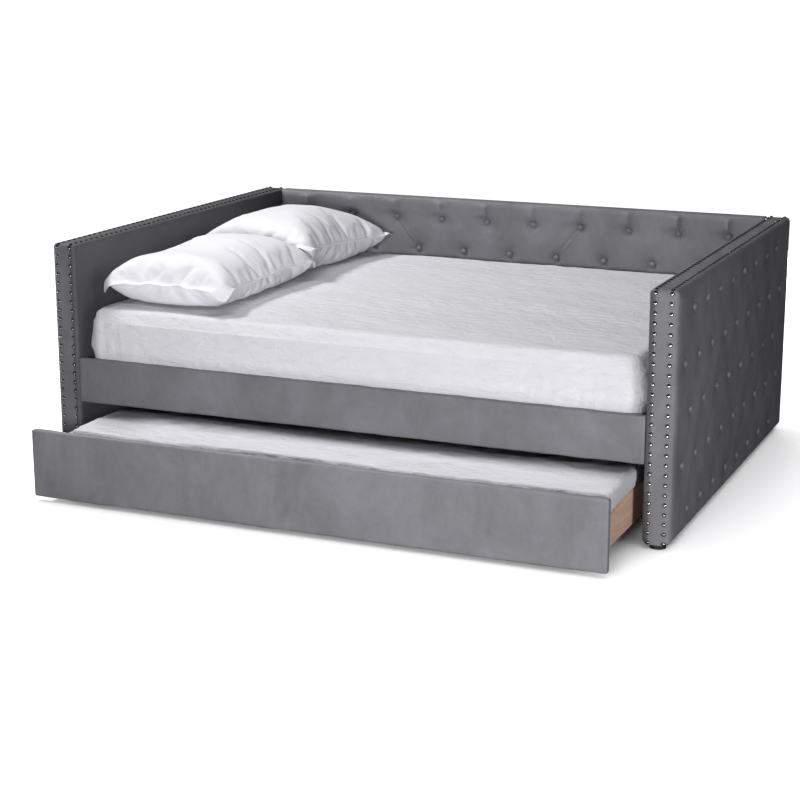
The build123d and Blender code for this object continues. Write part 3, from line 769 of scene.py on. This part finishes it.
def sheet_wrinkles(low, high, seed, rumple):
    """Shallow creases over the top, gathers on the sides near the corners and the hem."""
    def amount(p, n):
        x, y, z = p.T
        top = np.clip((n[:, 2] - 0.5) * 3, 0, 1)
        creases = smooth_noise(x + 0.15 * y, y + 0.03 * np.sin(x * 5), seed, 0.060, 0.026)
        broad = smooth_noise(x, y, seed + 1, 0.35, 0.12)
        fade = 0.4 + 0.6 * np.clip(smooth_noise(x, y, seed + 2, 0.5, 0.3) * 0.5 + 0.5, 0, 1)
        top_move = 0.0010 * creases * fade + 0.0014 * broad
        corner_x = np.minimum(x - low[0], high[0] - x)
        corner_y = np.minimum(y - low[1], high[1] - y)
        nearness = np.exp(-np.hypot(np.maximum(corner_x, 0), np.maximum(corner_y, 0)) / 0.16)
        down = np.clip((high[2] - z) / (high[2] - low[2]), 0, 1)
        gathers = smooth_noise(x * 1.3 + y, z * 0.15, seed + 3, 0.018, 0.12)
        sag = smooth_noise(x + y, z, seed + 4, 0.16, 0.09)
        side_move = (0.0006 + 0.0026 * nearness) * gathers * (0.35 + 0.65 * down) + 0.0012 * sag
        # The sheet never sinks as far as the core, which is inset by more.
        return np.maximum(rumple * (top * top_move + (1 - top) * side_move), -0.006)
    return amount


def hung_over_board(points, low, high, reach, foot):
    """Lets a sheet's right-hand end hang over the box's side board, down to a wavy foot."""
    points = points.copy()
    end = smoothstep(np.clip((points[:, 0] - (high[0] - 0.055)) / 0.045, 0, 1))
    near_front = np.exp(-np.maximum(points[:, 1] - low[1], 0) / 0.05)
    hem = foot - 0.012 * near_front + 0.004 * np.sin(points[:, 1] * 31) * np.sin(points[:, 1] * 13 + 1)
    share = (points[:, 2] - low[2]) / (high[2] - low[2])
    lifted = hem + (high[2] - hem) * share
    points[:, 0] += reach * end
    points[:, 2] += (lifted - points[:, 2]) * end
    return points


def sheeted_mattress(node, body, form, seed, rumple=1.0, overhang=None):
    """A mattress inside a fitted sheet that turns under at its foot. Returns the sheet.

    form is the corner's and the edge's radius, the sides' bulge and the top's crown.
    """
    low, high = (np.array(c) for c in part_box(node))
    inset = 0.008
    points, faces = mattress_shell(low + inset, high - inset, *form, step=0.03)
    core = make_piece(node + "_core", points, faces, ticking, body, [node])
    points, faces = mattress_shell(low, high, *form, step=0.011)
    # The sheet has no underside: drop the fan of triangles, keep the turned-in foot.
    quads = [f for f in faces if len(f) == 4]
    if overhang:
        points = hung_over_board(points, low, high, *overhang)
    sheet = make_piece(node + "_fitted_sheet", points[:-1], quads, sheet_cotton, body)
    push_out(sheet, sheet_wrinkles(low, high, seed, rumple))
    return sheet


sheeted_mattress("mattress", "mattress", (0.050, 0.034, 0.020, 0.010), 71)
trundle_sheet = sheeted_mattress("trundle_mattress", "trundle", (0.024, 0.015, 0.004, 0.004), 72,
                                 rumple=1.7, overhang=(0.026, 0.192))


# ---- Pillows ----
def layer_faces(index):
    """Quads of a sheet of cloth whose points are numbered by a grid."""
    return np.stack([index[:-1, :-1], index[1:, :-1], index[1:, 1:], index[:-1, 1:]], axis=-1).reshape(-1, 4)


def unit(vectors):
    """Vectors of length 1 along the given ones."""
    return vectors / np.linalg.norm(vectors, axis=1, keepdims=True)


def averaged(loop, rounds):
    """Values round a loop, each blended with its neighbours a number of times."""
    for _ in range(rounds):
        loop = (np.roll(loop, 1, axis=0) + 2 * loop + np.roll(loop, -1, axis=0)) / 4
    return loop


class PillowMesh:
    """A flat pillow case: two layers of cloth joined all round, as a grid of rows and columns."""

    def __init__(self, width, length, step):
        self.columns, self.rows = int(width / step) + 1, int(length / step) + 1
        across = np.linspace(-width / 2, width / 2, self.columns)
        along = np.linspace(-length / 2, length / 2, self.rows)
        self.x, self.y = np.meshgrid(across, along, indexing="ij")
        count = self.columns * self.rows
        self.upper = np.arange(count).reshape(self.columns, self.rows)
        self.rim = np.ones_like(self.upper, dtype=bool)
        self.rim[1:-1, 1:-1] = False
        self.lower = self.upper.copy()
        inner = (self.columns - 2) * (self.rows - 2)
        self.lower[1:-1, 1:-1] = count + np.arange(inner).reshape(self.columns - 2, self.rows - 2)
        self.size = count + inner

    def faces(self):
        """Quads of both layers, facing out."""
        return np.concatenate([layer_faces(self.upper), layer_faces(self.lower)[:, ::-1]])

    def place(self, centre, lift, swell):
        """Points of the flat case about a centre, raised by lift(y) and swollen by swell(x, y)."""
        points = np.zeros((self.size, 3))
        for index, way in ((self.upper, 1), (self.lower, -1)):
            z = centre[2] + lift(self.y) + way * swell(self.x, self.y)
            points[index] = np.stack([centre[0] + self.x, centre[1] + self.y, z], axis=-1)
        return points


def collider(name, points, faces):
    """A solid that simulated cloth can't pass. It is removed once the cloth has settled."""
    solid = add_object(name, new_mesh(name, points, faces))
    solid.modifiers.new("Collision", "COLLISION")
    solid.collision.thickness_outer, solid.collision.thickness_inner = 0.003, 0.05
    solid.collision.cloth_friction = 8.0
    return solid


def collider_box(name, low, high):
    """A collider in the shape of a box."""
    corners = [(x, y, z) for x in (low[0], high[0]) for y in (low[1], high[1]) for z in (low[2], high[2])]
    return collider(name, corners, [(0, 1, 3, 2), (4, 6, 7, 5), (0, 4, 5, 1), (2, 3, 7, 6), (0, 2, 6, 4),
                                    (1, 5, 7, 3)])


def settle(case, points, solids, pull):
    """Fills a case with air and lets it settle on the solids; returns where its points end."""
    steps = 45
    cloth_object = add_object("case", new_mesh("case", points, case.faces()))
    seam = cloth_object.vertex_groups.new(name="seam")
    seam.add([int(i) for i in case.upper[case.rim]], 1.0, "REPLACE")
    cloth = cloth_object.modifiers.new("Cloth", "CLOTH")
    for key, value in {
        "quality": 6, "mass": 0.12, "tension_stiffness": 22, "compression_stiffness": 22,
        "shear_stiffness": 8, "bending_stiffness": 0.2, "tension_damping": 8, "compression_damping": 8,
        "air_damping": 4, "use_pressure": True, "uniform_pressure_force": 3.0,
        "vertex_group_shrink": "seam", "shrink_min": 0.0, "shrink_max": 0.08,
    }.items():
        setattr(cloth.settings, key, value)
    cloth.settings.effector_weights.gravity = pull
    cloth.collision_settings.collision_quality = 3
    cloth.collision_settings.distance_min = 0.003
    cloth.collision_settings.use_self_collision = False
    cloth.point_cache.frame_start, cloth.point_cache.frame_end = 1, steps
    for frame_number in range(1, steps + 1):
        bpy.context.scene.frame_set(frame_number)
    settled = cloth_object.evaluated_get(bpy.context.evaluated_depsgraph_get()).data
    result = np.zeros(len(settled.vertices) * 3)
    settled.vertices.foreach_get("co", result)
    bpy.context.scene.frame_set(1)
    for thing in [cloth_object] + solids:
        bpy.data.objects.remove(thing)
    return result.reshape(-1, 3)


def cased(case, points, lip, front_lip, gap=0.0011):
    """Splits the seam of a settled pillow and adds a flat lip round it; returns points and faces.

    The lip is front_lip wide at the case's near end and lip wide elsewhere.
    """
    points = points.copy()
    columns, rows = case.columns, case.rows
    j, i = np.divmod(rim_loop(rows, columns), columns)
    inner_i, inner_j = np.clip(i, 1, columns - 2), np.clip(j, 1, rows - 2)
    upper_ring = case.upper[i, j]
    seam = points[upper_ring]
    above, below = points[case.upper[inner_i, inner_j]], points[case.lower[inner_i, inner_j]]
    outward = unit(averaged(unit(seam - (above + below) / 2), 3))
    apart = above - below
    apart /= np.maximum(np.linalg.norm(apart, axis=1, keepdims=True), 1e-6)
    reach = averaged(np.where(j == 0, front_lip, lip)[:, None], 4)
    points[upper_ring] += apart * gap
    # The seam itself becomes two rings, then the lip's rings run out and back.
    rings = [seam + outward * reach * share + apart * gap * side
             for share, side in ((0.0, -1), (0.5, -1), (0.93, -1), (1.0, 0), (0.93, 1), (0.5, 1))]
    numbers = list(len(points) + np.arange(len(rings) * len(i)).reshape(len(rings), -1))
    lower = case.lower.copy()
    lower[i, j] = numbers[0]
    faces = [layer_faces(case.upper), layer_faces(lower[::-1])]
    for near, far in zip(numbers, numbers[1:] + [upper_ring]):
        faces.append(np.stack([near, np.roll(near, -1), np.roll(far, -1), far], axis=-1))
    return np.concatenate([points] + rings), np.concatenate(faces)


def flattened(points, near_share, far_share):
    """Presses a settled pillow down onto the bed, to shares of its height at its near and far ends."""
    points = points.copy()
    near, far = points[:, 1].min(), points[:, 1].max()
    along = smoothstep(np.clip((points[:, 1] - near) / (far - near), 0, 1))
    share = near_share + (far_share - near_share) * along
    points[:, 2] = bed_surface + 0.001 + (points[:, 2] - bed_surface - 0.004) * share
    return points


def plumped_front(points, share, reach):
    """Fills out a pillow's near end, so that its seam stands higher above the bed there."""
    points = points.copy()
    near = np.exp(-((points[:, 1] - points[:, 1].min()) / reach) ** 2)
    points[:, 2] += (points[:, 2] - bed_surface) * share * near
    return points


def bed_solids():
    """What a pillow lies on or against: the mattress, the left arm and the back."""
    low, high = bed_surface - 0.12, bed_surface + 0.6
    return [collider_box("under", (-1.3, -1.0, low), (0.0, 1.3, bed_surface)),
            collider_box("side", (-1.3, -1.0, low), (-inner_x, 1.3, high)),
            collider_box("behind", (-1.3, back_front - 0.003, low), (0.5, 1.3, high))]


def make_pillow(node, case, points, front_lip, material):
    """Closes a pillow's case with a lip and rounds it, in place of a CAD node on the same body."""
    points, faces = cased(case, points, 0.006, front_lip)
    piece = make_piece(node + "_case", points, faces, material, node, [node], outward=False)
    modifier = piece.modifiers.new("rounding", "SUBSURF")
    modifier.levels = modifier.render_levels = 1
    mesh = bpy.data.meshes.new_from_object(piece.evaluated_get(bpy.context.evaluated_depsgraph_get()))
    piece.modifiers.remove(modifier)
    piece.data = mesh


def make_pillows():
    """Fills both pillows, the rear one lying partly on the front one, then presses them flatter."""
    front_case, rear_case = PillowMesh(0.565, 0.815, 0.0125), PillowMesh(0.565, 0.84, 0.0125)
    swell_height = 0.012

    def swell(x, y):
        bulge = np.maximum(1 - (x / 0.283) ** 2, 0) * np.maximum(1 - (y / 0.42) ** 2, 0)
        return swell_height * bulge + 0.0005

    front = front_case.place((-0.755, -0.195, 0.713), lambda y: 0 * y, swell)
    rear = rear_case.place((-0.760, 0.505, 0.810), lambda y: -0.077 * y, swell)
    front = settle(front_case, front, bed_solids(), pull=0.075)
    solids = bed_solids() + [collider("front_pillow_solid", front, front_case.faces())]
    rear = settle(rear_case, rear, solids, pull=0.10)
    front = plumped_front(flattened(front, near_share=0.76, far_share=0.98), share=0.42, reach=0.17)
    rear = flattened(rear, near_share=0.92, far_share=0.89)
    make_pillow("front_pillow", front_case, front, 0.022, pillow_cotton)
    make_pillow("rear_pillow", rear_case, rear, 0.012, rear_pillow_shaded_cotton)


make_pillows()


# ---- Materials on the CAD nodes that stay ----
STAYING_NODES = {
    foot_plastic: "right_arm_feet left_arm_feet",
    zinc: """caster_plates caster_forks caster_axles caster_screws rail_brackets beam_hangers
             frame_bolts back_bolts rail_screws""",
    wood_x: """front_rail_board rear_rail front_ledger rear_ledger centre_beam back_rails
               trundle_front_board trundle_back_board trundle_cleats""",
    wood_y: """right_arm_rails left_arm_rails bed_slats trundle_left_board trundle_right_board
               trundle_slats""",
    wood_z: "right_arm_posts left_arm_posts back_posts",
    plywood: """right_arm_inner_ply right_arm_outer_ply left_arm_inner_ply left_arm_outer_ply
                back_ply""",
    wheel_plastic: """caster_wheel_front_left caster_wheel_front_right
                      caster_wheel_rear_left caster_wheel_rear_right""",
}
for material, names in STAYING_NODES.items():
    for node in names.split():
        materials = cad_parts[node].data.materials
        materials.clear()
        materials.append(material)


# ---- Studio: floor, lights, camera ----
def studio_floor():
    """A wide pale floor. It throws little light back, so the underside of the bed stays dark."""
    reach = 300.0
    corners = [(x * reach, y * reach, 0) for x, y in ((-1, -1), (1, -1), (1, 1), (-1, 1))]
    mesh = new_mesh("studio_floor", corners, [(0, 1, 2, 3)])
    paint = Paint("studio_floor")
    seen = paint.nodes.new("ShaderNodeLightPath").outputs["Is Camera Ray"]
    tone = paint.ramp(seen, 0.0, 1.0, grey(0.04), (0.93, 0.93, 0.94))
    paint.links.new(tone, paint.shader.inputs["Base Color"])
    paint.shader.inputs["Roughness"].default_value = 1.0
    paint.shader.inputs["Specular IOR Level"].default_value = 0.0
    mesh.materials.append(paint.material)
    floor = add_object("studio_floor", mesh)
    return floor


def softbox(name, place, target, width, height, power):
    """A rectangular light at a place, aimed at a target."""
    data = bpy.data.lights.new(name, "AREA")
    data.shape = "RECTANGLE"
    data.size, data.size_y = width, height
    data.energy = power
    light = add_object(name, data)
    light.location = place
    light.rotation_euler = (Vector(target) - Vector(place)).to_track_quat("-Z", "Y").to_euler()
    light.visible_camera = False
    return light


def light_only(light, pieces, excluded=False):
    """Makes a light reach only some pieces, or all but them."""
    receivers = bpy.data.collections.new(light.name + "_receivers")
    for piece in pieces:
        receivers.objects.link(piece)
    if excluded:
        for entry in receivers.collection_objects:
            entry.light_linking.link_state = "EXCLUDE"
    light.light_linking.receiver_collection = receivers


floor = studio_floor()
# name: place, target, width, height, power in watts
SOFTBOXES = {
    "key_softbox": ((-2.7, 0.3, 3.7), (0.0, -0.3, 0.5), 0.7, 0.7, 108),
    "overhead_strip": ((-0.3, -0.05, 4.0), (-0.1, -0.2, 0.6), 3.0, 0.6, 46),
    "front_softbox": ((1.0, -4.8, 1.15), (0.1, -0.6, 0.45), 1.5, 0.8, 162),
    "side_softbox": ((3.0, -1.5, 0.25), (1.1, 0.0, 0.4), 0.8, 0.4, 22),
    "rear_softbox": ((-0.6, 5.2, 0.45), (0.0, 1.0, 0.42), 2.4, 0.8, 120),
    "left_softbox": ((-5.0, 0.0, 0.45), (-1.1, 0.1, 0.42), 1.6, 0.8, 60),
    "sheet_softbox": ((0.8, 0.60, 3.4), (0.1, -0.85, 0.26), 1.6, 0.25, 84),
    "floor_glow": ((1.0, -1.30, 0.01), (1.0, -1.30, 1.0), 4.2, 0.9, 36),
}
lights = {name: softbox(name, *spec) for name, spec in SOFTBOXES.items()}

# The nails mirror a bright strip of floor in front of the bed, and none of the large softboxes.
# The sheet on the trundle has a light of its own, further back, so the rail's shadow falls on it.
light_only(lights["floor_glow"], nail_pieces)
light_only(lights["sheet_softbox"], [trundle_sheet])
light_only(lights["key_softbox"], nail_pieces, excluded=True)
light_only(lights["overhead_strip"], nail_pieces + [trundle_sheet], excluded=True)
light_only(lights["front_softbox"], nail_pieces + [trundle_sheet], excluded=True)

sky = bpy.data.lights.new("floor_sky", "SUN")
sky.energy, sky.angle = 3.5, math.radians(150)
light_only(add_object("floor_sky", sky), [floor])

# The world is white to the camera and a dim cool fill to everything else.
world = bpy.data.worlds.new("studio")
bpy.context.scene.world = world
world.use_nodes = True
nodes, links = world.node_tree.nodes, world.node_tree.links
fill = nodes["Background"]
fill.inputs["Color"].default_value = (0.95, 0.96, 1.0, 1)
fill.inputs["Strength"].default_value = 0.045
white = add_node(nodes, "ShaderNodeBackground", Color=(1, 1, 1, 1), Strength=1.1)
seen = nodes.new("ShaderNodeLightPath")
choose = nodes.new("ShaderNodeMixShader")
links.new(seen.outputs["Is Camera Ray"], choose.inputs["Fac"])
links.new(fill.outputs["Background"], choose.inputs[1])
links.new(white.outputs["Background"], choose.inputs[2])
links.new(choose.outputs["Shader"], nodes["World Output"].inputs["Surface"])

bpy.context.scene.view_settings.view_transform = "Standard"

# The camera stands in front of the right-hand end of the bed, a little above it.
camera_data = bpy.data.cameras.new("camera")
camera_data.lens, camera_data.sensor_width = 83.03, 36.0
camera_data.clip_end = 100.0
camera_azimuth, camera_drop = math.radians(23.256), math.radians(14.124)
camera = add_object("camera", camera_data)
camera.location = (2.559, arm_front - 5.4747, 1.9071)
camera.rotation_euler = (math.pi / 2 - camera_drop, 0.0, camera_azimuth)
bpy.context.scene.camera = camera
